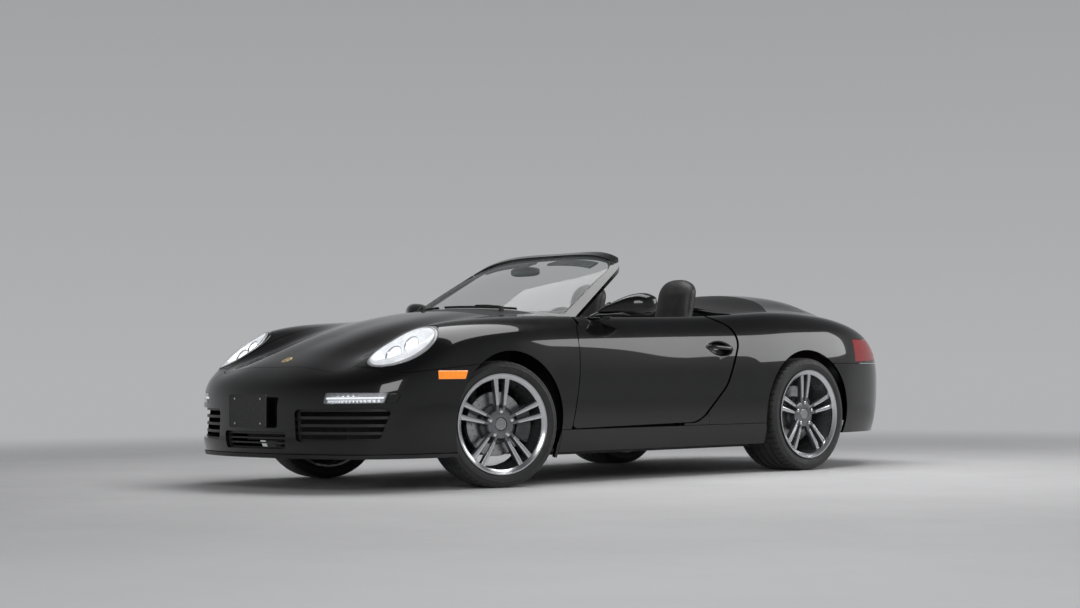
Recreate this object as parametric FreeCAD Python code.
# Two-door open sports car with its engine at the rear, roof stowed, at its real size.
# Millimetres. +Z is up, the front looks along -Y and the car's left side is +X.
# The origin is on the ground at the middle of the car's box.
# The front wheels stand turned to the car's right, as the car is parked.
import FreeCAD
import Part
import math
import os
from bisect import bisect_right

V = FreeCAD.Vector
UP = V(0, 0, 1)
ACROSS = V(1, 0, 0)
ALONG = V(0, 1, 0)

# Driving dimensions of the body
LENGTH = 4435.0
PLATE_PROUD = 35.0
WHEELBASE = 2350.0
FRONT_OVERHANG = 985.0
NOSE_Y = -(LENGTH + PLATE_PROUD) / 2 + PLATE_PROUD
TAIL_Y = NOSE_Y + LENGTH
FRONT_AXLE_Y = NOSE_Y + FRONT_OVERHANG
REAR_AXLE_Y = FRONT_AXLE_Y + WHEELBASE
PANEL = 18.0
MOVING_GAP = 5.5
FIXED_GAP = 3.0
SEAT = 0.3
EDGE_BLEND = 26.0

# Wheels
INCH = 25.4
RIM_SIZE = 19 * INCH
FRONT_TYRE_R = 323.5
REAR_TYRE_R = 330.0
FRONT_TYRE_WIDTH = 236.0
REAR_TYRE_WIDTH = 298.0
FRONT_RIM_WIDTH = 8 * INCH
REAR_RIM_WIDTH = 11 * INCH
FRONT_RIM_X = 743.0
REAR_RIM_X = 748.0
KINGPIN_X = 680.0
STEER_REST = -14.0
STEER_LOCK = 35.0
FRONT_ARCH_R = 366.0
REAR_ARCH_R = 370.0

# Openings and hinges
FRONT_TOWER_Z = 810.0
REAR_TOWER_Z = 790.0
DOOR_INNER_X = 738.0
DOOR_HINGE_X = 828.0
DOOR_HINGE_Y = -660.0
SILL_TOP = 284.0
SILL_BOTTOM = 168.0
FLOOR_Z = 150.0
SHEET = 14.0


def spline(xs, ys, level_start=False):
    """Natural cubic through the points, as a function, straight outside them."""
    n = len(xs)
    step = [xs[i + 1] - xs[i] for i in range(n - 1)]
    low = [0.0] * n
    mid = [1.0] * n
    high = [0.0] * n
    want = [0.0] * n
    if level_start:
        mid[0] = 2 * step[0]
        high[0] = step[0]
        want[0] = 6 * (ys[1] - ys[0]) / step[0]
    for i in range(1, n - 1):
        low[i] = step[i - 1]
        mid[i] = 2 * (step[i - 1] + step[i])
        high[i] = step[i]
        want[i] = 6 * ((ys[i + 1] - ys[i]) / step[i] - (ys[i] - ys[i - 1]) / step[i - 1])
    for i in range(1, n):
        f = low[i] / mid[i - 1]
        mid[i] -= f * high[i - 1]
        want[i] -= f * want[i - 1]
    bend = [0.0] * n
    bend[-1] = want[-1] / mid[-1]
    for i in range(n - 2, -1, -1):
        bend[i] = (want[i] - high[i] * bend[i + 1]) / mid[i]

    def value(x):
        i = min(max(bisect_right(xs, x) - 1, 0), n - 2)
        d = step[i]
        if x < xs[0]:
            slope = (ys[1] - ys[0]) / d - d / 6 * (2 * bend[0] + bend[1])
            return ys[0] + slope * (x - xs[0])
        if x > xs[-1]:
            slope = (ys[-1] - ys[-2]) / d + d / 6 * (bend[-2] + 2 * bend[-1])
            return ys[-1] + slope * (x - xs[-1])
        a = (xs[i + 1] - x) / d
        b = (x - xs[i]) / d
        curve = ((a ** 3 - a) * bend[i] + (b ** 3 - b) * bend[i + 1]) * d * d / 6
        return a * ys[i] + b * ys[i + 1] + curve
    return value


# The draughtsman's lines of the body.
# Upper surface: for stations along the car, its height at six distances from the middle.
CROWN_X = (0, 260, 470, 620, 760, 900)
CROWN_LINES = (
    (-2240, 505, 500, 488, 462, 400, 320),
    (-2150, 566, 560, 545, 520, 462, 380),
    (-2050, 628, 619, 593, 578, 530, 440),
    (-1950, 676, 665, 633, 628, 590, 500),
    (-1850, 719, 707, 673, 700, 655, 560),
    (-1740, 760, 748, 714, 767, 735, 630),
    (-1640, 794, 782, 752, 808, 785, 690),
    (-1500, 834, 824, 797, 840, 826, 745),
    (-1350, 869, 861, 838, 859, 850, 775),
    (-1130, 910, 903, 882, 876, 868, 800),
    (-945, 936, 929, 908, 888, 876, 815),
    (-700, 955, 948, 925, 896, 882, 830),
    (-400, 955, 948, 925, 898, 884, 835),
    (0, 958, 950, 930, 904, 890, 842),
    (400, 966, 958, 940, 914, 900, 850),
    (700, 980, 970, 948, 926, 914, 860),
    (950, 1010, 996, 962, 936, 926, 865),
    (1150, 1044, 1027, 978, 940, 924, 860),
    (1350, 1058, 1040, 986, 934, 912, 848),
    (1500, 1050, 1033, 981, 921, 896, 832),
    (1630, 1022, 1006, 956, 898, 872, 808),
    (1780, 970, 957, 911, 857, 830, 768),
    (1880, 920, 908, 868, 817, 790, 728),
    (1980, 868, 857, 820, 766, 735, 675),
    (2080, 812, 800, 764, 703, 665, 600),
    (2160, 752, 740, 702, 635, 590, 520),
    (2250, 650, 640, 600, 530, 480, 400),
)
# Half width of the body along the car, and how far its side tucks in by height.
PLAN_LINE = ((-2240, 610), (-2100, 715), (-1950, 790), (-1750, 846), (-1500, 876), (-1215, 886),
             (-900, 876), (-600, 867), (-200, 863), (200, 867), (600, 883), (900, 899), (1135, 904),
             (1400, 901), (1600, 884), (1780, 844), (1900, 798), (2000, 746), (2100, 676), (2250, 540))
SIDE_LINE = ((120, 62), (180, 40), (260, 18), (350, 5), (450, 0), (540, 0), (640, 8), (740, 26),
             (820, 52), (880, 80), (1000, 150))
# How far the nose and the tail fall back by distance from the middle, and by height.
NOSE_PLAN = ((0, 0), (200, 8), (400, 42), (550, 92), (680, 165), (760, 240), (850, 370), (950, 560))
NOSE_SIDE = ((120, 40), (180, 14), (250, 0), (330, 0), (420, 0), (500, 8), (560, 30), (620, 75), (700, 160))
TAIL_PLAN = ((0, 0), (200, 4), (400, 28), (550, 74), (650, 132), (740, 228), (800, 345), (850, 505), (900, 705))
TAIL_SIDE = ((120, 115), (200, 76), (280, 40), (380, 12), (480, 2), (560, 0), (640, 14), (720, 50),
             (800, 110), (900, 220))


def line_of(points, level_start=False):
    return spline([p[0] for p in points], [p[1] for p in points], level_start)


half_width = line_of(PLAN_LINE)
side_tuck = line_of(SIDE_LINE)
nose_plan = line_of(NOSE_PLAN, True)
nose_side = line_of(NOSE_SIDE)
tail_plan = line_of(TAIL_PLAN, True)
tail_side = line_of(TAIL_SIDE)
crown_lines = [line_of([(row[0], row[i + 1]) for row in CROWN_LINES]) for i in range(len(CROWN_X))]
crown_shares = [spline(CROWN_X, [1.0 if j == i else 0.0 for j in range(len(CROWN_X))], True)
                for i in range(len(CROWN_X))]


def crown(x, y):
    """Height of the upper surface before its edges are rounded."""
    x = abs(x)
    return sum(line(y) * share(x) for line, share in zip(crown_lines, crown_shares))


def outside(x, y, z):
    """Below 0 inside the body's form and above 0 outside it, smooth everywhere."""
    ax = abs(x)
    parts = (ax - half_width(y) + side_tuck(z),
             z - crown(ax, y),
             NOSE_Y + nose_plan(ax) + nose_side(z) - y,
             y - TAIL_Y + tail_plan(ax) + tail_side(z))
    top = max(parts)
    return top + EDGE_BLEND * math.log(sum(math.exp((p - top) / EDGE_BLEND) for p in parts))


def skin_point(start, way, reach=1700.0):
    """Where a ray from inside the body meets its skin."""
    near, far = 0.0, reach
    for _ in range(24):
        mid = (near + far) / 2
        if outside(start[0] + way[0] * mid, start[1] + way[1] * mid, start[2] + way[2] * mid) > 0:
            far = mid
        else:
            near = mid
    return V(start[0] + way[0] * near, start[1] + way[1] * near, start[2] + way[2] * near)


def skin_normal(p):
    e = 1.5
    n = V(outside(p.x + e, p.y, p.z) - outside(p.x - e, p.y, p.z),
          outside(p.x, p.y + e, p.z) - outside(p.x, p.y - e, p.z),
          outside(p.x, p.y, p.z + e) - outside(p.x, p.y, p.z - e))
    return n.normalize()


def skin_z(x, y):
    return skin_point((x, y, 300.0), (0, 0, 1)).z


def skin_x(y, z):
    return skin_point((0.0, y, z), (1, 0, 0)).x


# Plain solids
def box(x0, x1, y0, y1, z0, z1):
    return Part.makeBox(x1 - x0, y1 - y0, z1 - z0, V(x0, y0, z0))


def rod(start, end, radius):
    start, end = V(*start), V(*end)
    return Part.makeCylinder(radius, (end - start).Length, start, end - start)


def fused(shapes):
    """The shapes as one, with its faces looking out."""
    whole = shapes[0].multiFuse(shapes[1:]).removeSplitter() if len(shapes) > 1 else shapes[0]
    if whole.Volume < 0:
        whole.reverse()
    return whole


def mirrored(shape):
    return shape.mirror(V(0, 0, 0), ACROSS)


def steps(start, end, count):
    return [start + (end - start) * i / (count - 1) for i in range(count)]


def rounded_loop(points, radii):
    """A closed wire through 3-D points in one plane with each corner rounded."""
    n = len(points)
    edges = []
    ends = []
    for i, p in enumerate(points):
        a = (points[i - 1] - p).normalize()
        b = (points[(i + 1) % n] - p).normalize()
        r = radii[i] if isinstance(radii, (list, tuple)) else radii
        if r <= 0:
            ends.append((p, p, None))
            continue
        half = a.getAngle(b) / 2
        back = r / math.tan(half)
        middle = (a + b).normalize()
        centre = p + middle * (r / math.sin(half))
        ends.append((p + a * back, p + b * back, centre - middle * r))
    for i in range(n):
        if ends[i][2] is not None:
            edges.append(Part.Arc(ends[i][0], ends[i][2], ends[i][1]).toShape())
        start, end = ends[i][1], ends[(i + 1) % n][0]
        if (end - start).Length > 0.01:
            edges.append(Part.LineSegment(start, end).toShape())
    return Part.Wire(edges)


def side_prism(points, radii, x0, x1):
    """A side-view outline of (y, z) points, carried across the car."""
    wire = rounded_loop([V(x0, y, z) for y, z in points], radii)
    return Part.Face(wire).extrude(V(x1 - x0, 0, 0))


def plan_prism(points, radii, z0, z1):
    """A plan outline of (x, y) points, carried up."""
    wire = rounded_loop([V(x, y, z0) for x, y in points], radii)
    return Part.Face(wire).extrude(V(0, 0, z1 - z0))


def turned(profile, centre, axis=ACROSS):
    """A ring from (along, radius) points turned about an axis through the centre."""
    side = UP if abs(axis.z) < 0.5 else ACROSS
    area = sum(a[0] * b[1] - b[0] * a[1] for a, b in zip(profile, profile[1:] + profile[:1]))
    profile = profile if area > 0 else profile[::-1]
    wire = Part.makePolygon([centre + axis * a + side * r for a, r in profile + profile[:1]])
    return Part.Face(wire).revolve(centre, axis, 360)


# Curved slabs between two grids of points
def surface_of(grid):
    surface = Part.BSplineSurface()
    surface.interpolate(grid)
    return surface.toShape()


def slab(outer, inner):
    top, low = surface_of(outer), surface_of(inner)
    sides = []
    for a, b in zip(top.OuterWire.OrderedEdges, low.OuterWire.OrderedEdges):
        sides.append(Part.makeRuledSurface(a, b))
    shell = Part.Shell([top, low] + sides)
    shell.sewShape()
    solid = Part.Solid(shell)
    if solid.Volume < 0:
        solid.reverse()
    return solid


def offset_slab(outer, depth_0, depth_1):
    """The layer of the skin between two depths below it."""
    normals = [[skin_normal(p) for p in row] for row in outer]
    first = [[p - n * depth_0 for p, n in zip(row, ns)] for row, ns in zip(outer, normals)]
    second = [[p - n * depth_1 for p, n in zip(row, ns)] for row, ns in zip(outer, normals)]
    return slab(first, second)


CORE_X = 340.0
CORE_Z = 450.0


def side_grid(y0, y1, rows, z_low, x_high, columns):
    """Skin points on the left side, from a low line up and over to a line near the middle."""
    grid = []
    for y in steps(y0, y1, rows):
        high = skin_point((x_high, y, CORE_Z), (0, 0, 1))
        low = skin_point((CORE_X, y, z_low), (1, 0, 0))
        a0 = math.atan2(low.z - CORE_Z, low.x - CORE_X)
        a1 = math.atan2(high.z - CORE_Z, high.x - CORE_X)
        grid.append([skin_point((CORE_X, y, CORE_Z), (math.cos(a), 0, math.sin(a)))
                     for a in steps(a0, a1, columns)])
    return grid


def end_grid(core_y, way, spread, columns, low, high, rows):
    """Skin points around an end of the car, from rays that fan out from one point."""
    grid = []
    for plan in steps(-spread, spread, columns):
        row = []
        for tilt in steps(low, high, rows):
            a, b = math.radians(plan), math.radians(tilt)
            ray = (math.sin(a) * math.cos(b), way * math.cos(a) * math.cos(b), math.sin(b))
            row.append(skin_point((0.0, core_y, CORE_Z), ray))
        grid.append(row)
    return grid


def top_grid(x0, x1, columns, y0, y1, rows):
    return [[skin_point((x, y, 300.0), (0, 0, 1)) for x in steps(x0, x1, columns)]
            for y in steps(y0, y1, rows)]


def front_prism(points, radii, y0, y1):
    """A front-view outline of (x, z) points, carried along the car."""
    wire = rounded_loop([V(x, y0, z) for x, z in points], radii)
    return Part.Face(wire).extrude(V(0, y1 - y0, 0))


def grown(prism_of, points, radii, gap, *ends):
    """The same prism with its outline moved out by a gap all round."""
    prism = prism_of(points, radii, *ends)
    base = prism.Faces[0]
    for face in prism.Faces:
        if abs(face.Area - Part.Face(face.OuterWire).Area) < 1 and len(face.Edges) > len(base.Edges):
            base = face
    wire = base.OuterWire.makeOffset2D(gap)
    along = {side_prism: ACROSS, plan_prism: UP, front_prism: ALONG}[prism_of]
    start = wire.BoundBox.Center
    low = start.dot(along)
    if abs(low - ends[0]) > 1:
        wire.translate(along * (ends[0] - low))
    return Part.Face(wire).extrude(along * (ends[1] - ends[0]))


# Outlines of the panels. Side views are (y, z), plans (x, y) and front views (x, z).
DOOR_LINE = ((-640, 1020), (-772, 290), (225, 304), (440, 505), (596, 808), (405, 893), (395, 1020))
DOOR_CORNERS = (0, 40, 180, 250, 100, 30, 0)
FRONT_LID_REAR = -1055.0
FRONT_LID_LINE = ((560, FRONT_LID_REAR), (536, -2032), (0, -2056), (-536, -2032), (-560, FRONT_LID_REAR))
FRONT_LID_CORNERS = (20, 85, 500, 85, 20)
COVER_FRONT = 715.0
LID_HINGE_Y = 1510.0
LID_GAP = 12.0
COVER_LINE = ((575, COVER_FRONT), (560, LID_HINGE_Y - LID_GAP / 2), (-560, LID_HINGE_Y - LID_GAP / 2),
              (-575, COVER_FRONT))
COVER_CORNERS = (60, 25, 25, 60)
ENGINE_LID_LINE = ((545, LID_HINGE_Y + LID_GAP / 2), (470, 2078), (-470, 2078), (-545, LID_HINGE_Y + LID_GAP / 2))
ENGINE_LID_CORNERS = (25, 90, 90, 25)
FRONT_SEAM = ((-2300, 636), (-2000, 636), (-1930, 600), (-1850, 588), (-1500, 622), (-1200, 650))
REAR_SEAM_Z = 628.0
BUMPER_BOTTOM = 186.0
LIP_BOTTOM = 166.0
LIP_PROUD = 7.0
REAR_BOTTOM = 212.0
PLATE_RECESS = 12.0
NOSE_CORE_Y = -1500.0
TAIL_CORE_Y = 1500.0

nose_grid = end_grid(NOSE_CORE_Y, -1, 98, 37, -24, 52, 18)
tail_grid = end_grid(TAIL_CORE_Y, 1, 98, 37, -24, 52, 18)
fender_grid = side_grid(-1985, -560, 22, 140, 430, 18)
quarter_grid = side_grid(300, 2075, 26, 140, 430, 18)
front_lid_grid = top_grid(-575, 575, 19, -2075, -1030, 20)
cover_grid = top_grid(-590, 590, 17, 640, 1520, 14)
engine_lid_grid = top_grid(-560, 560, 17, 1500, 2095, 14)

front_arch = Part.makeCylinder(FRONT_ARCH_R, 700, V(440, FRONT_AXLE_Y, 332), ACROSS)
rear_arch = Part.makeCylinder(REAR_ARCH_R, 700, V(470, REAR_AXLE_Y, 336), ACROSS)


def turning_room():
    """What a front tyre sweeps about its kingpin, with room around it."""
    reach = FRONT_RIM_X + FRONT_TYRE_WIDTH / 2 - KINGPIN_X
    points = [V(KINGPIN_X, FRONT_AXLE_Y, 0)]
    for z in steps(0, FRONT_TYRE_R * 2 + 6, 15):
        chord = math.sqrt(max(FRONT_TYRE_R ** 2 - (z - FRONT_TYRE_R) ** 2, 0))
        points.append(V(KINGPIN_X + math.hypot(reach, chord) + 14, FRONT_AXLE_Y, z))
    points.append(V(KINGPIN_X, FRONT_AXLE_Y, FRONT_TYRE_R * 2 + 20))
    profile = Part.Face(Part.makePolygon(points + points[:1]))
    return profile.revolve(V(KINGPIN_X, FRONT_AXLE_Y, 0), UP, 360)


steer_room = turning_room()

front_lid_hole = grown(plan_prism, FRONT_LID_LINE, FRONT_LID_CORNERS, MOVING_GAP, 300, 1300)
engine_lid_hole = grown(plan_prism, ENGINE_LID_LINE, ENGINE_LID_CORNERS, MOVING_GAP, 300, 1400)
cover_hole = grown(plan_prism, COVER_LINE, COVER_CORNERS, MOVING_GAP, 300, 1400)
door_hole = grown(side_prism, DOOR_LINE, DOOR_CORNERS, MOVING_GAP, 600, 1000)
front_upper = side_prism(FRONT_SEAM + ((-1200, 1200), (-2300, 1200)), 0, -1000, 1000)

# The door's front end turns inside a cone about its hinge.
CONE_LOW_Z = 270.0
CONE_TOP_Z = 910.0
DOOR_FRONT_LOW = 121.0
DOOR_FRONT_TOP = 18.0


def hinge_cone(extra):
    return Part.makeCone(DOOR_FRONT_LOW + extra, DOOR_FRONT_TOP + extra, CONE_TOP_Z - CONE_LOW_Z,
                         V(DOOR_HINGE_X, DOOR_HINGE_Y, CONE_LOW_Z), UP)


door_room = hinge_cone(MOVING_GAP)


def headlamp_plane():
    """Centre, long way, short way and outward way of the left headlamp."""
    centre = skin_point((662, -1756, 400), (0, 0, 1))
    out = skin_normal(centre)
    long_way = V(100, 340, 174)
    long_way = (long_way - out * long_way.dot(out)).normalize()
    return centre, long_way, out.cross(long_way), out


HEADLAMP_LONG = 196.0
HEADLAMP_SHORT = 98.0
HEADLAMP_DEPTH = 130.0
LENS = 6.0


def headlamp_oval(grow, depth, share=1.0):
    centre, long_way, short_way, out = headlamp_plane()
    a = (HEADLAMP_LONG + grow) * share
    b = (HEADLAMP_SHORT + grow) * share
    c = centre - out * depth
    oval = Part.Ellipse(c + long_way * a, c + short_way * b, c)
    return Part.Wire(oval.toShape())


def headlamp_plug(grow, low, high):
    out = headlamp_plane()[3]
    return Part.Face(headlamp_oval(grow, low)).extrude(out * (low - high))


POD_LINE = ((490, 436), (790, 442), (800, 492), (500, 494))
MARKER_LINE = ((-1690, 556), (-1530, 556), (-1512, 598), (-1690, 598))
TAIL_LAMP_LINE = ((470, 700), (700, 655), (960, 628), (960, 775), (480, 765))
TAIL_LAMP_FRONT = 1620.0
tail_lamp_hole = front_prism(TAIL_LAMP_LINE, (15, 60, 0, 0, 15), TAIL_LAMP_FRONT, 2400)
pod_hole = front_prism(POD_LINE, 12, -2400, -1780)
marker_hole = side_prism(MARKER_LINE, 6, 700, 1000)


def make_fender():
    panel = offset_slab(fender_grid, 0, PANEL).common(box(0, 1000, -2000, -560, SILL_TOP + 3, 1200))
    lower = offset_slab(fender_grid, 0, PANEL).common(box(0, 1000, -870, -600, 0, SILL_TOP + 10))
    panel = panel.fuse(lower)
    below = side_prism(tuple((y, z + FIXED_GAP) for y, z in FRONT_SEAM) + ((-1200, 0), (-2300, 0)), 0, 0, 1000)
    cowl_corner = box(0, 737, -772, -500, 600, 1100)
    inner = box(0, 558, -1060, -500, 600, 1100)
    rear_low = box(700, 1000, -848 - FIXED_GAP, -500, 0, SILL_TOP + 3)
    return panel.cut([below, cowl_corner, inner, rear_low, front_lid_hole, front_arch, steer_room, door_hole,
                      door_room, headlamp_plug(0, 90, -90)])


def make_quarter():
    panel = offset_slab(quarter_grid, 0, PANEL)
    low = box(0, 1000, 200, 790, 0, SILL_TOP + 3)
    rear_low = box(0, 1000, 1300, 2300, 0, REAR_SEAM_Z)
    cabin = box(0, 740, 200, COVER_FRONT - 80, 300, 1200)
    middle = box(0, 470, 200, 2300, 300, 1200)
    rear_end = box(0, 468, 1900, 2300, 300, 1200)
    bottom = box(0, 1000, 200, 2300, 0, 205)
    return panel.cut([low, rear_low, cabin, middle, rear_end, bottom, cover_hole, engine_lid_hole, rear_arch,
                      door_hole, grown_lamp_hole()])


def grown_lamp_hole():
    return grown(front_prism, TAIL_LAMP_LINE, (15, 60, 0, 0, 15), 2, TAIL_LAMP_FRONT - 2, 2400)


def make_front_bumper():
    panel = offset_slab(nose_grid, 0, PANEL)
    low = box(-1000, 1000, -2400, 0, -100, BUMPER_BOTTOM)
    panel = panel.cut([low, front_upper, front_lid_hole])
    rear = box(-1000, 1000, FRONT_AXLE_Y, 0, 0, 1200)
    panel = panel.cut([rear])
    for side in (1, -1):
        tools = [front_arch, steer_room, pod_hole, marker_hole]
        tools += [side_intake(0)]
        if side < 0:
            tools = [mirrored(t) for t in tools]
        panel = panel.cut(tools)
    middle = front_prism(MIDDLE_INTAKE, 18, -2400, -1900)
    return panel.cut([middle])


MIDDLE_INTAKE = ((-250, 212), (250, 212), (262, 300), (-262, 300))
SIDE_INTAKE = ((330, 250), (740, 262), (780, 418), (318, 410))


def side_intake(grow):
    if grow:
        return grown(front_prism, SIDE_INTAKE, 25, grow, -2400, -1780)
    return front_prism(SIDE_INTAKE, 25, -2400, -1780)


def make_front_grilles():
    backing = offset_slab(nose_grid, PANEL + SEAT, PANEL + 14)
    grilles = []
    for side in (1, -1):
        area = side_intake(14)
        bars = [box(280, 820, -2400, -1700, z, z + 24) for z in (262, 300, 338, 376)]
        one = backing.common(area)
        cuts = [b.common(side_intake(-6)) for b in bars]
        one = one.cut(cuts)
        grilles.append(one if side > 0 else mirrored(one))
    area = grown(front_prism, MIDDLE_INTAKE, 18, 12, -2400, -1900)
    one = backing.common(area)
    cuts = [front_prism(((-238, z), (238, z), (238, z + 16), (-238, z + 16)), 4, -2400, -1900)
            for z in (222, 246, 270)]
    grilles.append(one.cut(cuts))
    return grilles


def make_rear_bumper():
    panel = offset_slab(tail_grid, 0, PANEL)
    low = box(-1000, 1000, 0, 2400, -100, REAR_BOTTOM)
    front = box(-1000, 1000, 0, 1320, 0, 1200)
    panel = panel.cut([low, front, engine_lid_hole])
    for side in (1, -1):
        upper = box(467, 1000, 1300, 2400, REAR_SEAM_Z - 3, 1200)
        inner = box(0, 480, 1300, 1900, REAR_SEAM_Z - 3, 1300)
        tip = front_prism(((392, 214), (538, 214), (538, 290), (392, 290)), 34, 2000, 2400)
        tools = [upper, inner, rear_arch, grown_lamp_hole(), tip]
        if side < 0:
            tools = [mirrored(t) for t in tools]
        panel = panel.cut(tools)
    recess = front_prism(((-270, 452), (270, 452), (270, 636), (-270, 636)), 20, 2100, 2400)
    floor = offset_slab(tail_grid, PLATE_RECESS, PANEL + PLATE_RECESS).common(recess)
    return panel.cut(recess.common(offset_slab(tail_grid, -5, PLATE_RECESS))).fuse(floor).removeSplitter()


def make_front_lid():
    sheet = offset_slab(front_lid_grid, 0, PANEL)
    return sheet.common(plan_prism(FRONT_LID_LINE, FRONT_LID_CORNERS, 300, 1300))


def make_top_cover():
    sheet = offset_slab(cover_grid, 0, PANEL)
    return sheet.common(plan_prism(COVER_LINE, COVER_CORNERS, 300, 1400))


def make_engine_lid():
    sheet = offset_slab(engine_lid_grid, 0, PANEL)
    lid = sheet.common(plan_prism(ENGINE_LID_LINE, ENGINE_LID_CORNERS, 300, 1400))
    slots = []
    for i in range(7):
        y = 1600 + 26 * i
        slots.append(plan_prism(((-330, y), (330, y), (330, y + 13), (-330, y + 13)), 5, 300, 1400))
    return lid.cut(slots)


def make_door():
    rows = side_grid(-800, 620, 20, 276, 752, 16)
    inner = []
    for row in rows:
        low, high = row[0].z, row[-1].z
        inner.append([V(DOOR_INNER_X, p.y, z) for p, z in zip(row, steps(low, high, len(row)))])
    leaf = slab(rows, inner)
    outline = Part.Face(rounded_loop([V(1000, y, z) for y, z in DOOR_LINE], DOOR_CORNERS))
    leaf = leaf.common(outline.extrude(V(-400, -32, 0)))
    ahead = box(600, 1000, -900, DOOR_HINGE_Y, 200, 1100).cut(hinge_cone(0))
    return leaf.cut(ahead)


def make_sill():
    panel = side_grid(-850, 780, 12, SILL_BOTTOM - 20, 700, 14)
    inner = [[V(735, p.y, z) for p, z in zip(row, steps(row[0].z, row[-1].z, len(row)))] for row in panel]
    core = slab(panel, inner)
    core = core.common(box(700, 1000, -848, 778, SILL_BOTTOM, SILL_TOP))
    return core.cut([front_arch, rear_arch, steer_room])


# Structure under the skin
FLOOR_HALF = 734.7
FOOTWELL_HALF = 428.0
FOOTWELL_FRONT = -1062.0
DASH_WALL_Y = -790.0
REAR_WALL_Y = 760.0
POST_X = (640.0, 700.0)
POST_TOP = 790.0
REAR_SHELF_Y = 440.0
REAR_SHELF_Z = 314.0
TUB_FRONT = -1930.0
TUB_FLOOR = 240.0
HINGE_PIN_R = 8.0
HINGE_HEIGHTS = (430.0, 690.0)
HINGE_SLOT = 17.0


def under_skin(depth):
    """Everything higher than a layer this far below the body's upper surface."""
    front = offset_slab(top_grid(-745, 745, 21, -1700, -480, 16), depth, -160)
    nose = offset_slab(top_grid(-540, 540, 17, -2060, -1500, 12), depth, -120)
    rear = offset_slab(top_grid(-745, 745, 21, 400, 1900, 20), depth, -160)
    return [front, nose, rear]


def make_floor_pan():
    middle = box(-FLOOR_HALF, FLOOR_HALF, DASH_WALL_Y, REAR_WALL_Y, FLOOR_Z, FLOOR_Z + SHEET)
    foot = box(-FOOTWELL_HALF, FOOTWELL_HALF, FOOTWELL_FRONT, DASH_WALL_Y, FLOOR_Z, FLOOR_Z + SHEET)
    toe = box(-FOOTWELL_HALF, FOOTWELL_HALF, FOOTWELL_FRONT, FOOTWELL_FRONT + SHEET, FLOOR_Z, 890)
    tunnel_out = side_to_side_tunnel(130, 330)
    parts = [middle, foot, toe, tunnel_out]
    for side in (1, -1):
        wall = box(FOOTWELL_HALF - SHEET, FOOTWELL_HALF, FOOTWELL_FRONT, DASH_WALL_Y, FLOOR_Z, 850)
        dash_wall = box(FOOTWELL_HALF - SHEET, POST_X[1], DASH_WALL_Y - 26, DASH_WALL_Y - 12, FLOOR_Z, 850)
        post = box(POST_X[0], POST_X[1], DASH_WALL_Y - 26, -600, FLOOR_Z, POST_TOP)
        latch_post = box(660, FLOOR_HALF, 606, REAR_WALL_Y, FLOOR_Z, 880)
        arms = []
        for z in HINGE_HEIGHTS:
            arms.append(box(POST_X[1] - 10, DOOR_HINGE_X, DOOR_HINGE_Y - 12, DOOR_HINGE_Y + 12, z - 12, z + 12))
            arms.append(Part.makeCylinder(14, 24, V(DOOR_HINGE_X, DOOR_HINGE_Y, z - 12), UP))
            arms.append(Part.makeCylinder(HINGE_PIN_R, 84, V(DOOR_HINGE_X, DOOR_HINGE_Y, z - 42), UP))
        shelf = box(0, 700, REAR_SHELF_Y, REAR_WALL_Y, REAR_SHELF_Z - SHEET, REAR_SHELF_Z)
        riser = box(0, 700, REAR_SHELF_Y, REAR_SHELF_Y + SHEET, FLOOR_Z, REAR_SHELF_Z)
        rail = [box(x - 14, x + 14, -220, 300, FLOOR_Z + SHEET - 2, 190) for x in (220, 520)]
        bracket = [box(640, FLOOR_HALF, y, y + 60, FLOOR_Z + 2, 230) for y in (-500, 100)]
        for piece in [wall, dash_wall, post, latch_post, shelf, riser] + arms + rail + bracket:
            parts.append(piece if side > 0 else mirrored(piece))
    parts.append(box(-FLOOR_HALF, FLOOR_HALF, REAR_WALL_Y, REAR_WALL_Y + SHEET, FLOOR_Z, 900))
    pan = fused(parts)
    pan = pan.cut([side_to_side_tunnel(130 - SHEET, 330 - SHEET)] + under_skin(PANEL + SEAT))
    for side in (1, -1):
        for tool in (front_arch, rear_arch, steer_room):
            pan = pan.cut(tool if side > 0 else mirrored(tool))
    return pan


def side_to_side_tunnel(half, top):
    profile = ((-half, FLOOR_Z - 60), (half, FLOOR_Z - 60), (half * 0.8, top), (-half * 0.8, top))
    low = 0 if half > 120 else 60
    tunnel = front_prism(profile, (0, 0, 50, 50), -1000 - low, REAR_WALL_Y + low)
    return tunnel.cut(box(-300, 300, -1100, 900, FLOOR_Z - 90, FLOOR_Z)) if not low else tunnel


def without_crumbs(shape, least=2000.0):
    """The pieces that matter of a shape that was cut."""
    kept = [s for s in shape.Solids if s.Volume > least]
    return kept[0] if len(kept) == 1 else Part.makeCompound(kept)


GUTTER_DROP = 5.0
GUTTER_SHEET = 12.0
LID_ROOM = 8.0
STOP_R = 10.0
STOP_GAP = 0.7


def gutters(grid, near, edge, far, y0, y1):
    """A gutter beside a lid, with a flange that the next panel is fixed to."""
    gutter = offset_slab(grid, PANEL + GUTTER_DROP, PANEL + GUTTER_DROP + GUTTER_SHEET)
    gutter = gutter.common(box(near, far, y0, y1, 300, 1300))
    flange = offset_slab(grid, PANEL + SEAT, PANEL + GUTTER_DROP + 3).common(box(edge, far, y0, y1, 300, 1300))
    ledge = gutter.fuse(flange)
    return [ledge, mirrored(ledge)]


def stops(places):
    """Rubber-like stops that a closed lid lies on, square to its underside."""
    feet = []
    for x, y in places:
        top = V(x, y, skin_z(x, y))
        n = skin_normal(top)
        foot = Part.makeCylinder(STOP_R, GUTTER_DROP + 4, top - n * (PANEL + GUTTER_DROP + 4 + STOP_GAP), n)
        feet += [foot, mirrored(foot)]
    return feet


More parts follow.
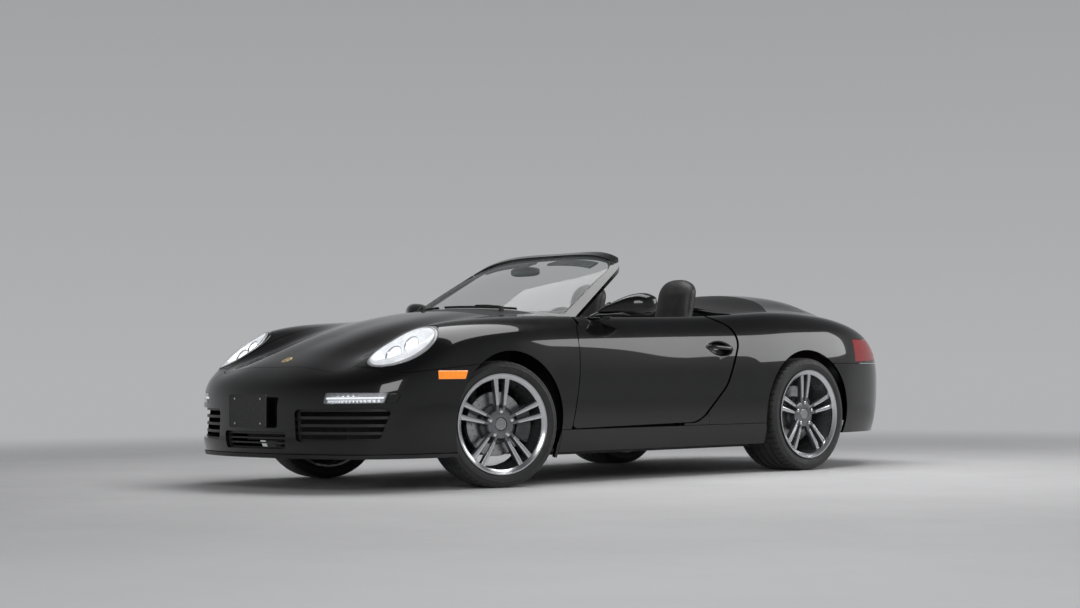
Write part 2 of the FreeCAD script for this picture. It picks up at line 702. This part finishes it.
def make_front_tub():
    rear = FOOTWELL_FRONT - SEAT
    rim = [(y, skin_z(FOOTWELL_HALF, y) - PANEL - LID_ROOM) for y in steps(TUB_FRONT, rear, 9)]
    walls = side_prism([(rear, TUB_FLOOR), (TUB_FRONT, TUB_FLOOR)] + rim, 0, -FOOTWELL_HALF, FOOTWELL_HALF)
    room = box(-FOOTWELL_HALF + SHEET, FOOTWELL_HALF - SHEET, TUB_FRONT + SHEET, FOOTWELL_FRONT - SHEET,
               TUB_FLOOR + SHEET, 1000)
    tub = walls.cut(room)
    ledges = gutters(fender_grid, 410, 563, 640, -1840, rear)
    beam = offset_slab(nose_grid, PANEL + SEAT, PANEL + 16).common(
        front_prism(((-420, 510), (420, 510), (420, 590), (-420, 590)), 20, -2400, -1900))
    stays = [box(x - 12, x + 12, -2130, TUB_FRONT + 4, 440, 530) for x in (-340, 340)]
    cross = box(-360, 360, -2146, -2104, 440, 530)
    towers = [box(-640, -420, FRONT_AXLE_Y - 70, FRONT_AXLE_Y + 70, FRONT_TOWER_Z + SEAT, FRONT_TOWER_Z + 16),
              box(420, 640, FRONT_AXLE_Y - 70, FRONT_AXLE_Y + 70, FRONT_TOWER_Z + SEAT, FRONT_TOWER_Z + 16)]
    tub = fused([tub] + ledges + towers + [beam, cross] + stays + stops(((500, -1780), (500, -1200))))
    plug = headlamp_plug(1, 90, -160)
    tub = tub.cut([steer_room, mirrored(steer_room), front_arch, mirrored(front_arch), plug, mirrored(plug)])
    over_nose = offset_slab(nose_grid, -60, PANEL + SEAT).common(box(-1000, 1000, -2400, -1900, 0, 620))
    return without_crumbs(tub.cut([over_nose]))


def make_cowl():
    sheet = offset_slab(top_grid(-600, 600, 19, -1090, -620, 12), 4, PANEL)
    line = [(554, FRONT_LID_REAR + MOVING_GAP), (554, -742), (330, -860), (0, -890), (-330, -860), (-554, -742),
            (-554, FRONT_LID_REAR + MOVING_GAP)]
    sheet = sheet.common(plan_prism(line, (5, 20, 300, 600, 300, 20, 5), 300, 1300))
    return sheet.cut(shield_slab(1.06, -0.06, 1.0, -SEAT, FRAME_DEPTH + SEAT))


# Windshield
SHIELD_BASE_HALF = 700.0
SHIELD_HEAD_HALF = 586.0
SHIELD_BASE_Y = (-905.0, -640.0)
SHIELD_HEAD_Y = (-52.0, -128.0)
SHIELD_BASE_Z = (925.0, 885.0)
SHIELD_HEAD_Z = (1268.0, 1196.0)
SHIELD_BULGE = 46.0
SHIELD_CORNER = 0.16
SHIELD_CORNER_DRAW = 0.10
FRAME_DEPTH = 30.0
SHIELD_FOOT_TOP = 876.0
GLASS_OUTER = 8.0
GLASS_INNER = 13.0


def shield_point(s, t):
    """A point of the windshield: s runs across from -1 to 1, t up from 0 to 1."""
    base = V(SHIELD_BASE_HALF * s,
             SHIELD_BASE_Y[0] + (SHIELD_BASE_Y[1] - SHIELD_BASE_Y[0]) * s * s,
             SHIELD_BASE_Z[0] + (SHIELD_BASE_Z[1] - SHIELD_BASE_Z[0]) * s * s)
    head = V(SHIELD_HEAD_HALF * s,
             SHIELD_HEAD_Y[0] + (SHIELD_HEAD_Y[1] - SHIELD_HEAD_Y[0]) * s * s,
             SHIELD_HEAD_Z[0] + (SHIELD_HEAD_Z[1] - SHIELD_HEAD_Z[0]) * s ** 4)
    rise = SHIELD_BULGE * (1 - min(s * s, 1)) * math.sin(math.pi * min(max(t, -0.1), 1.1))
    return base + (head - base) * t + V(0, -rise * 0.35, rise)


def shield_slab(half, t0, t1, depth_0, depth_1):
    first, second = [], []
    for t in steps(t0, t1, 21):
        row_0, row_1 = [], []
        into_corner = max(t - t1 + SHIELD_CORNER, 0) / SHIELD_CORNER
        width = half * (1 - SHIELD_CORNER_DRAW * into_corner ** 2.4)
        for s in steps(-width, width, 17):
            p = shield_point(s, t)
            n = (shield_point(s + 0.01, t) - p).cross(shield_point(s, t + 0.01) - p).normalize()
            row_0.append(p - n * depth_0)
            row_1.append(p - n * depth_1)
        first.append(row_0)
        second.append(row_1)
    return slab(first, second)


def make_windshield():
    whole = shield_slab(1.04, -0.03, 1.035, 0, FRAME_DEPTH)
    window = shield_slab(0.962, 0.03, 0.955, -30, FRAME_DEPTH + 40)
    frame = whole.cut(window)
    for side in (1, -1):
        foot = box(POST_X[0] + 15, 727, -700, -604, POST_TOP + SEAT, SHIELD_FOOT_TOP)
        frame = frame.fuse(foot if side > 0 else mirrored(foot))
    glass = shield_slab(0.962 - 0.0006, 0.03 + 0.0006, 0.955 - 0.0006, GLASS_OUTER, GLASS_INNER)
    return frame, glass


# Cabin
DRIVER_X = 370.0
WHEEL_CENTRE = V(DRIVER_X, -305.0, 772.0)
WHEEL_TILT = 24.0
WHEEL_RING_R = 178.0


def make_dashboard(pan, frame):
    profile = ((-860, 900), (-560, 905), (-440, 868), (-420, 780), (-520, 640), (-700, 560), (-770, 700))
    dash = side_prism(profile, (10, 160, 60, 60, 80, 60, 60), -668, 668)
    console = side_prism(((-640, 600), (-640, 330), (240, 330), (240, 470), (-200, 480), (-470, 640)),
                         (0, 0, 0, 40, 200, 40), -92, 92)
    hood = side_prism(((-620, 890), (-420, 930), (-400, 850), (-560, 800)), (30, 20, 20, 20), 190, 550)
    shield_room = shield_slab(1.1, -0.3, 1.0, -200, FRAME_DEPTH + 4)
    dash = fused([dash, console, hood])
    dash = dash.cut([shield_room, pan, frame] + under_skin(PANEL + 12)[:1])
    end = WHEEL_CENTRE + wheel_axis() * 76
    column = rod(tuple(end), tuple(end + wheel_axis() * 260), 34)
    return without_crumbs(dash.fuse(column).removeSplitter())


def wheel_axis():
    a = math.radians(WHEEL_TILT)
    return V(0, -math.cos(a), -math.sin(a))


def make_steering_wheel():
    ring = Part.makeTorus(WHEEL_RING_R, 15, V(0, 0, 0), UP)
    hub = Part.makeCylinder(62, 38, V(0, 0, -40), UP)
    spokes = []
    for angle in (0, 180, 270):
        arm = box(40, WHEEL_RING_R, -20, 20, -14, 4)
        spokes.append(arm.rotate(V(0, 0, 0), UP, angle))
    wheel = fused([ring, hub] + spokes)
    spindle = Part.makeCylinder(16, 36, V(0, 0, -76 + SEAT), UP)
    wheel = wheel.fuse(spindle)
    wheel.rotate(V(0, 0, 0), UP, 180 + STEER_REST * STEERING_RATIO)
    wheel.rotate(V(0, 0, 0), ACROSS, -(90 - WHEEL_TILT))
    wheel.translate(WHEEL_CENTRE)
    return wheel


STEERING_RATIO = 16.0


def seat_section(width, depth, radius, centre, up_way, back_way):
    points = []
    for a, b in ((-1, -1), (1, -1), (1, 1), (-1, 1)):
        points.append(centre + ACROSS * (a * width / 2) + back_way * (b * depth / 2))
    return rounded_loop(points, radius)


def make_seat(x):
    """A one-piece bucket seat with its head rest as part of the back."""
    cushion = Part.makeLoft([
        rounded_loop([V(x - w / 2, y, z0), V(x + w / 2, y, z0), V(x + w / 2, y, z1), V(x - w / 2, y, z1)], r)
        for y, w, z0, z1, r in ((-190, 430, 260, 350, 30), (-120, 480, 220, 378, 40), (100, 500, 205, 372, 40),
                                (300, 470, 205, 352, 40))], True)
    lean = math.radians(20)
    up_way = V(0, math.sin(lean), math.cos(lean))
    back_way = V(0, math.cos(lean), -math.sin(lean))
    foot = V(x, 318, 300)
    back = Part.makeLoft([
        seat_section(w, d, r, foot + up_way * h + back_way * shift, up_way, back_way)
        for h, w, d, r, shift in ((0, 430, 120, 45, 0), (120, 500, 150, 55, -8), (330, 515, 145, 55, 4),
                                  (500, 470, 120, 50, 10), (600, 330, 100, 40, 8), (680, 268, 100, 44, -2),
                                  (760, 262, 104, 46, -10), (820, 246, 98, 44, -12), (856, 200, 76, 32, -12),
                                  (868, 150, 48, 20, -12))],
        True)
    base = box(x - 190, x + 190, -160, 280, 190.3, 230)
    return fused([cushion, back, base])


def make_rear_seats():
    seats = []
    for x in (300, -300):
        low = REAR_SHELF_Z + SEAT
        cushion = side_prism(((452, low), (452, 425), (680, 400), (680, low)), (10, 40, 20, 10), x - 190, x + 190)
        back = side_prism(((628, 380), (690, 380), (752, 800), (700, 800)), (20, 20, 25, 25), x - 190, x + 190)
        seats.append(fused([cushion, back]))
    return seats


MIRROR_FACE_Y = -300.0
INNER_MIRROR_Y = -300.0


def make_door_mirror():
    """A teardrop housing on a short arm at the door's front upper corner."""
    def ring(x, y, z, deep, high, corner):
        return rounded_loop([V(x, y - deep, z - high), V(x, y + deep, z - high), V(x, y + deep, z + high),
                             V(x, y - deep, z + high)], corner)
    housing = Part.makeLoft([ring(*row) for row in (
        (842, -372, 936, 16, 16, 8), (856, -368, 939, 46, 40, 28), (900, -354, 945, 66, 58, 44),
        (950, -342, 947, 68, 62, 48), (992, -334, 946, 50, 48, 36), (1008, -330, 946, 28, 28, 18))], True)
    housing = housing.cut(box(800, 1100, MIRROR_FACE_Y, -200, 800, 1100))
    arm = Part.makeLoft([ring(*row) for row in (
        (768, -492, 868, 44, 20, 8), (812, -474, 893, 36, 12, 8), (852, -436, 901, 34, 11, 8),
        (900, -382, 908, 30, 11, 8))], True)
    return fused([housing, arm])


def make_inner_mirror():
    """A mirror on a short stem from the windshield's inner side."""
    housing = front_prism(((-120, 1132), (120, 1132), (120, 1188), (-120, 1188)), 26, INNER_MIRROR_Y - 14,
                          INNER_MIRROR_Y + 14)
    stem = rod((0, INNER_MIRROR_Y, 1160), (0, INNER_MIRROR_Y - 24, 1240), 9)
    return fused([housing, stem]).cut(shield_slab(0.4, 0.4, 0.9, -90, GLASS_INNER + SEAT))


# Lamps
def make_headlamp():
    cover = [offset_slab(side_grid(-2000, -1500, 18, 420, 470, 16), 3 + SEAT, -140)]
    lens = offset_slab(side_grid(-2000, -1500, 18, 420, 470, 16), -4, 3).common(headlamp_plug(-2.5, 90, -90))
    bowl = headlamp_plug(-SEAT, HEADLAMP_DEPTH, -60).cut(cover)
    room = Part.makeLoft([headlamp_oval(-8, -60), headlamp_oval(-8, 20), headlamp_oval(0, 100, 0.45)], True)
    bowl = bowl.cut(room)
    centre, long_way, short_way, out = headlamp_plane()
    spots = []
    for shift, radius in ((-48, 52), (62, 44)):
        at = centre + long_way * shift - out * HEADLAMP_DEPTH
        spots.append(Part.makeCylinder(radius, 70, at, out))
        spots.append(Part.makeSphere(radius * 0.8, at + out * 58))
    bowl = fused([bowl] + [s.common(headlamp_plug(-9, HEADLAMP_DEPTH, 0)) for s in spots])
    return lens, bowl


def make_front_lip():
    """The dark blade under the front bumper."""
    blade = offset_slab(nose_grid, -LIP_PROUD, PANEL)
    blade = blade.common(box(-1000, 1000, -2400, FRONT_AXLE_Y, LIP_BOTTOM, BUMPER_BOTTOM - SEAT))
    return blade.cut([front_arch, steer_room, mirrored(front_arch), mirrored(steer_room)])


def make_pod():
    body = offset_slab(nose_grid, 1, 60)
    return body.common(grown(front_prism, POD_LINE, 12, -SEAT, -2400, -1780))


def make_marker():
    body = offset_slab(nose_grid, -2, PANEL)
    return body.common(grown(side_prism, MARKER_LINE, 6, -SEAT, 700, 1000))


def make_tail_lamp():
    body = offset_slab(tail_grid, -2, PANEL)
    return body.common(front_prism(TAIL_LAMP_LINE, (15, 60, 0, 0, 15), TAIL_LAMP_FRONT, 2400))


def make_number_plates():
    front = front_prism(((-160, 318), (160, 318), (160, 486), (-160, 486)), 10, NOSE_Y - PLATE_PROUD, NOSE_Y - 30)
    holder = front_prism(((-120, 330), (120, 330), (120, 470), (-120, 470)), 6, NOSE_Y - 31, NOSE_Y + 4)
    front = front.fuse(holder).cut(offset_slab(nose_grid, -0.3, 60))
    plate = offset_slab(tail_grid, PLATE_RECESS - 6, PLATE_RECESS - SEAT).common(
        front_prism(((-155, 466), (155, 466), (155, 621), (-155, 621)), 8, 2100, 2400))
    return front, plate


# Wheels. Each is made about its own centre with its outer face along +X, then placed.
def make_tyre(width, outer_r, rim_width):
    w, r, seat = width / 2, outer_r, RIM_SIZE / 2
    inside = rim_width / 2 - 1
    profile = [(-inside, seat + 1), (inside, seat + 1), (inside, seat + 19), (w - 4, seat + 30), (w, seat + 46),
               (w - 3, r - 26), (w - 12, r - 8), (w - 26, r - 1.5), (w - 44, r), (44 - w, r), (26 - w, r - 1.5),
               (12 - w, r - 8), (3 - w, r - 26), (-w, seat + 46), (4 - w, seat + 30), (-inside, seat + 19)]
    return turned([(a, b) for a, b in profile], V(0, 0, 0))


def make_wheel(rim_width, face_offset, hub_back):
    """Rim, five twin spokes and hub; the spokes' face lies face_offset outboard of the rim's middle."""
    w, r = rim_width / 2, RIM_SIZE / 2
    barrel = turned([(-w - 10, r + 17), (-w, r + 17), (-w, r), (-w + 30, r), (-w + 48, r - 14), (w - 60, r - 14),
                     (w - 40, r), (w, r), (w, r + 17), (w + 10, r + 17), (w + 10, r + 7), (w - 4, r - 10),
                     (w - 42, r - 12), (w - 62, r - 24), (-w + 46, r - 24), (-w + 28, r - 8), (-w + 2, r - 8),
                     (-w - 10, r + 6)], V(0, 0, 0))
    face = face_offset
    dish = turned([(face - 6, 0), (face - 2, 70), (face + 4, 150), (face + 2, r - 5), (face - 30, r - 5),
                   (face - 26, 150), (face - 36, 70), (hub_back, 62), (hub_back, 0)], V(0, 0, 0))
    arms = []
    for i in range(5):
        for side in (1, -1):
            points = [V(hub_back - 20, side * across, out) for across, out in (
                (4, 30), (32, 36), (36, 150), (49, r + 4), (21, r + 6), (17, 150), (9, 86))]
            bar = Part.Face(Part.makePolygon(points + points[:1])).extrude(V(300, 0, 0))
            arms.append(bar.rotate(V(0, 0, 0), ACROSS, 72 * i))
    hub = Part.makeCylinder(74, 300, V(hub_back - 20, 0, 0), ACROSS)
    star = dish.common(fused(arms + [hub]))
    return fused([barrel, star])


def make_disc(radius, x, hub_face):
    ring = Part.makeCylinder(radius, 28, V(x - 14, 0, 0), ACROSS)
    ring = ring.cut(Part.makeCylinder(radius - 62, 40, V(x - 20, 0, 0), ACROSS))
    hat = Part.makeCylinder(radius - 58, hub_face - x + 14, V(x - 14, 0, 0), ACROSS)
    hat = hat.cut(Part.makeCylinder(radius - 68, hub_face - x + 4, V(x - 14, 0, 0), ACROSS))
    bore = Part.makeCylinder(31.3, 200, V(x - 100, 0, 0), ACROSS)
    return fused([ring, hat]).cut(bore)


def make_caliper(radius, x, angle):
    """A fixed caliper that reaches over the disc's edge."""
    block = Part.makeCylinder(radius + 26, 102, V(x - 56, 0, 0), ACROSS)
    block = block.cut(Part.makeCylinder(radius - 52, 130, V(x - 65, 0, 0), ACROSS))
    wedge = Part.Face(Part.makePolygon([V(x - 70, 0, 0), V(x - 70, 260, 150), V(x - 70, 260, -150),
                                        V(x - 70, 0, 0)])).extrude(V(150, 0, 0))
    block = block.common(wedge)
    room = Part.makeCylinder(radius + 6, 28 + 12, V(x - 20, 0, 0), ACROSS)
    return block.cut(room).rotate(V(0, 0, 0), ACROSS, angle)


FRONT_DISC_R = 165.0
REAR_DISC_R = 165.0
FRONT_HUB_X = 56.0
REAR_HUB_X = 68.0
FRONT_DISC_X = 12.0
ARM_TOP = 206.0
REAR_DISC_X = 18.0


def make_knuckle(rim_x, disc_x):
    """Upright, hub spindle, steering arm and caliper, about the front wheel's centre."""
    spindle = Part.makeCylinder(31, FRONT_HUB_X - SEAT + 82, V(-82, 0, 0), ACROSS)
    upright = box(-96, -62, -46, 46, -112, 96)
    ball = Part.makeCylinder(20, 40, V(KINGPIN_X - rim_x, 0, ARM_TOP + SEAT - FRONT_TYRE_R), UP)
    arm = box(-100, -76, 30, 150, -60, -36)
    caliper = make_caliper(FRONT_DISC_R, disc_x, 0)
    bridge = box(-92, disc_x - 20, 106, 134, -40, 40)
    return fused([spindle, upright, ball, arm, caliper, bridge])


def steered(shape, side=1):
    """Turn a front wheel's piece about its kingpin to the parked angle."""
    return shape.rotate(V(side * KINGPIN_X, FRONT_AXLE_Y, 0), UP, STEER_REST)


def make_front_axle():
    beam = box(-400, 400, FRONT_AXLE_Y - 60, FRONT_AXLE_Y + 60, 168, 228)
    parts = [beam]
    for side in (1, -1):
        arm = plan_prism(((380, FRONT_AXLE_Y - 150), (430, FRONT_AXLE_Y - 150), (KINGPIN_X + 16, FRONT_AXLE_Y - 24),
                          (KINGPIN_X + 16, FRONT_AXLE_Y + 24), (430, FRONT_AXLE_Y + 150), (380, FRONT_AXLE_Y + 150)),
                         12, ARM_TOP - 24, ARM_TOP)
        arm = arm.cut(plan_prism(((400, FRONT_AXLE_Y - 90), (560, FRONT_AXLE_Y - 12), (560, FRONT_AXLE_Y + 12),
                                  (400, FRONT_AXLE_Y + 90)), 6, 150, 260))
        strut = rod((566, FRONT_AXLE_Y, 200), (566, FRONT_AXLE_Y, FRONT_TOWER_Z), 24)
        spring = Part.makeCylinder(58, 140, V(566, FRONT_AXLE_Y, FRONT_TOWER_Z - 140), UP)
        for piece in (arm, strut, spring):
            parts.append(piece if side > 0 else mirrored(piece))
    return fused(parts)


def make_rear_axle():
    beam = box(-420, 420, REAR_AXLE_Y - 180, REAR_AXLE_Y - 120, 180, 228)
    parts = [beam]
    for side in (1, -1):
        arm = box(400, 586, REAR_AXLE_Y - 170, REAR_AXLE_Y - 130, 190, 216)
        trail = plan_prism(((530, REAR_AXLE_Y - 172), (588, REAR_AXLE_Y - 172), (690, REAR_AXLE_Y - 40),
                            (690, REAR_AXLE_Y + 40), (644, REAR_AXLE_Y + 40), (560, REAR_AXLE_Y - 100)), 8, 190, 214)
        upright = box(640, 680, REAR_AXLE_Y - 46, REAR_AXLE_Y + 46, 190, 430)
        shaft = rod((200, REAR_AXLE_Y, REAR_TYRE_R), (REAR_RIM_X + REAR_DISC_X, REAR_AXLE_Y, REAR_TYRE_R), 22)
        spindle = rod((660, REAR_AXLE_Y, REAR_TYRE_R), (REAR_RIM_X + REAR_HUB_X - SEAT, REAR_AXLE_Y, REAR_TYRE_R), 31)
        strut = rod((560, REAR_AXLE_Y - 60, 300), (560, REAR_AXLE_Y - 60, REAR_TOWER_Z), 24)
        spring = Part.makeCylinder(46, 140, V(560, REAR_AXLE_Y - 60, REAR_TOWER_Z - 140), UP)
        link = box(540, 650, REAR_AXLE_Y - 84, REAR_AXLE_Y - 40, 290, 330)
        caliper = make_caliper(REAR_DISC_R, REAR_DISC_X, 180)
        caliper.translate(V(REAR_RIM_X, REAR_AXLE_Y, REAR_TYRE_R))
        bridge = box(660, REAR_RIM_X + REAR_DISC_X - 20, REAR_AXLE_Y - 134, REAR_AXLE_Y - 40, 300, 360)
        for piece in (arm, trail, upright, shaft, spindle, strut, spring, link, caliper, bridge):
            parts.append(piece if side > 0 else mirrored(piece))
    return fused(parts)


ENGINE_FRONT = 1215.0 + SEAT


def make_power_unit():
    engine = box(-330, 330, ENGINE_FRONT, ENGINE_FRONT + 510, 230, 560)
    gearbox = box(-130, 130, 800, ENGINE_FRONT + 10, 240, 400)
    return fused([engine, gearbox])


def make_exhaust(power_unit):
    parts = []
    for side in (1, -1):
        can = rod((480, 1770, 300), (480, 2030, 300), 88)
        pipe = rod((320, 1640, 290), (480, 1900, 290), 30)
        tip_out = front_prism(((400, 222), (530, 222), (530, 282), (400, 282)), 28, 2000, TAIL_Y - 60)
        tip_in = front_prism(((404, 226), (526, 226), (526, 278), (404, 278)), 24, 2040, TAIL_Y)
        piece = fused([can, pipe, tip_out]).cut([tip_in, power_unit])
        parts.append(piece if side > 0 else mirrored(piece))
    return parts


def make_rear_frame(lamp):
    ledges = gutters(quarter_grid, 440, 578, 640, REAR_WALL_Y + SHEET + SEAT, 2010)
    ring = offset_slab(tail_grid, PANEL + SEAT, PANEL + 16).common(
        front_prism(((-560, 640), (560, 640), (560, 745), (-560, 745)), 20, 1900, 2400))
    parts = ledges + [ring] + stops(((510, 900), (510, 1440), (490, 1600), (450, 1980)))
    for side in (1, -1):
        rail = box(440, 480, REAR_WALL_Y + SHEET + SEAT, 2080, 420, 520)
        tower = box(440, 620, REAR_AXLE_Y - 130, REAR_AXLE_Y + 20, REAR_TOWER_Z + SEAT, REAR_TOWER_Z + 18)
        wall = side_prism(((REAR_WALL_Y + SHEET + SEAT, 440), (REAR_WALL_Y + SHEET + SEAT, 927), (1350, 964),
                           (1550, 946), (1700, 910), (1860, 855), (2000, 780), (2080, 700), (2160, 640),
                           (2160, 440)), 0, 440, 452)
        for piece in (rail, tower, wall):
            parts.append(piece if side > 0 else mirrored(piece))
    parts.append(box(-452, 452, REAR_WALL_Y + SHEET + SEAT, REAR_WALL_Y + SHEET + 12, 420, 900))
    parts.append(box(-480, 480, 1180, 1215, 470, 700))
    parts.append(box(-480, 480, 2050, 2085, 420, 520))
    frame = fused(parts)
    frame = frame.cut([under_skin(PANEL + SEAT)[2]])
    over_tail = offset_slab(tail_grid, -60, PANEL + SEAT).common(box(-1000, 1000, 1890, 2400, 0, 1200))
    tools = [rear_arch, mirrored(rear_arch), lamp, mirrored(lamp), over_tail]
    return without_crumbs(frame.cut(tools))


def make_wipers():
    wipers = []
    for pivot_x, s0, s1 in ((420, 0.62, -0.08), (-130, -0.16, -0.82)):
        start, middle, end = [shield_point(s, 0.055) + V(0, -3, 3) for s in (s0, (s0 + s1) / 2, s1)]
        path = Part.Wire(Part.Arc(start, middle, end).toShape())
        rim = Part.Wire(Part.Circle(start, middle - start, 5).toShape())
        blade = path.makePipeShell([rim], True, False)
        foot_y = shield_point(pivot_x / SHIELD_BASE_HALF, 0).y - 62
        foot = V(pivot_x, foot_y, skin_z(pivot_x, foot_y) - 4 + 4 * SEAT)
        knee = foot + V(0, 0, 20)
        wipers.append(fused([blade, rod(tuple(foot), tuple(knee), 9), rod(tuple(knee), tuple(middle), 6)]))
    return wipers


def place_front(shape):
    shape = shape.copy()
    shape.translate(V(FRONT_RIM_X, FRONT_AXLE_Y, FRONT_TYRE_R))
    return shape


def place_rear(shape):
    shape = shape.copy()
    shape.translate(V(REAR_RIM_X, REAR_AXLE_Y, REAR_TYRE_R))
    return shape


def save(name, *shapes):
    shape = shapes[0] if len(shapes) == 1 else Part.makeCompound(list(shapes))
    os.makedirs("parts", exist_ok=True)
    shape.exportStep("parts/" + name + ".step")


def save_pair(name, shape):
    save(name + "_left", shape)
    save(name + "_right", mirrored(shape))


def main():
    fender = make_fender()
    save_pair("fender", fender)
    save_pair("quarter", make_quarter())
    save("front_bumper", make_front_bumper())
    save("front_grilles", *make_front_grilles())
    save("rear_bumper", make_rear_bumper())
    save("front_lip", make_front_lip())
    save("front_lid", make_front_lid())
    save("top_cover", make_top_cover())
    save("engine_lid", make_engine_lid())
    save("cowl", make_cowl())

    door = make_door()
    for z in HINGE_HEIGHTS:
        swing = Part.makeCylinder(150, 2 * HINGE_SLOT, V(DOOR_HINGE_X, DOOR_HINGE_Y, z - HINGE_SLOT), UP)
        door = door.cut(swing.common(box(600, DOOR_HINGE_X + HINGE_SLOT, -900, -500, 0, 1000)))
        door = door.cut(Part.makeCylinder(HINGE_PIN_R + SEAT, 88, V(DOOR_HINGE_X, DOOR_HINGE_Y, z - 44), UP))
    save_pair("door", door)
    save_pair("door_mirror", make_door_mirror().cut(door))
    sill = make_sill()
    save("sills", sill, mirrored(sill))
    frame, glass = make_windshield()
    save("windshield_frame", frame)
    save("windshield_glass", glass)
    save("wipers", *make_wipers())
    pan = make_floor_pan()
    save("floor_pan", pan)
    save("front_tub", make_front_tub())
    tail = make_tail_lamp()
    save("tail_lamps", tail, mirrored(tail))
    save("rear_frame", make_rear_frame(tail))

    lens, bowl = make_headlamp()
    save("headlamp_lenses", lens, mirrored(lens))
    save("headlamp_bowls", bowl, mirrored(bowl))
    pod = make_pod()
    save("front_lamps", pod, mirrored(pod))
    marker = make_marker()
    save("side_markers", marker, mirrored(marker))
    save("number_plates", *make_number_plates())

    save("dashboard", make_dashboard(pan, frame))
    save("steering_wheel", make_steering_wheel())
    save("inner_mirror", make_inner_mirror())
    save("seat_left", make_seat(DRIVER_X))
    save("seat_right", make_seat(-DRIVER_X))
    save("rear_seats", *make_rear_seats())

    save("front_axle", make_front_axle())
    save("rear_axle", make_rear_axle())
    engine = make_power_unit()
    save("power_unit", engine)
    save("exhaust", *make_exhaust(engine))

    front_wheel = make_wheel(FRONT_RIM_WIDTH, FRONT_RIM_WIDTH / 2 - 4, FRONT_HUB_X)
    rear_wheel = make_wheel(REAR_RIM_WIDTH, REAR_RIM_WIDTH / 2 - 16, REAR_HUB_X)
    front_disc = make_disc(FRONT_DISC_R, FRONT_DISC_X, FRONT_HUB_X)
    rear_disc = make_disc(REAR_DISC_R, REAR_DISC_X, REAR_HUB_X)
    front_tyre = make_tyre(FRONT_TYRE_WIDTH, FRONT_TYRE_R, FRONT_RIM_WIDTH)
    rear_tyre = make_tyre(REAR_TYRE_WIDTH, REAR_TYRE_R, REAR_RIM_WIDTH)
    for name, shape in (("tyre_front", front_tyre), ("wheel_front", front_wheel), ("disc_front", front_disc),
                        ("knuckle", make_knuckle(FRONT_RIM_X, FRONT_DISC_X))):
        placed = place_front(shape)
        save(name + "_left", steered(placed.copy()))
        save(name + "_right", steered(mirrored(placed), -1))
    for name, shape in (("tyre_rear", rear_tyre), ("wheel_rear", rear_wheel), ("disc_rear", rear_disc)):
        save_pair(name, place_rear(shape))


if __name__ == "__main__":
    main()
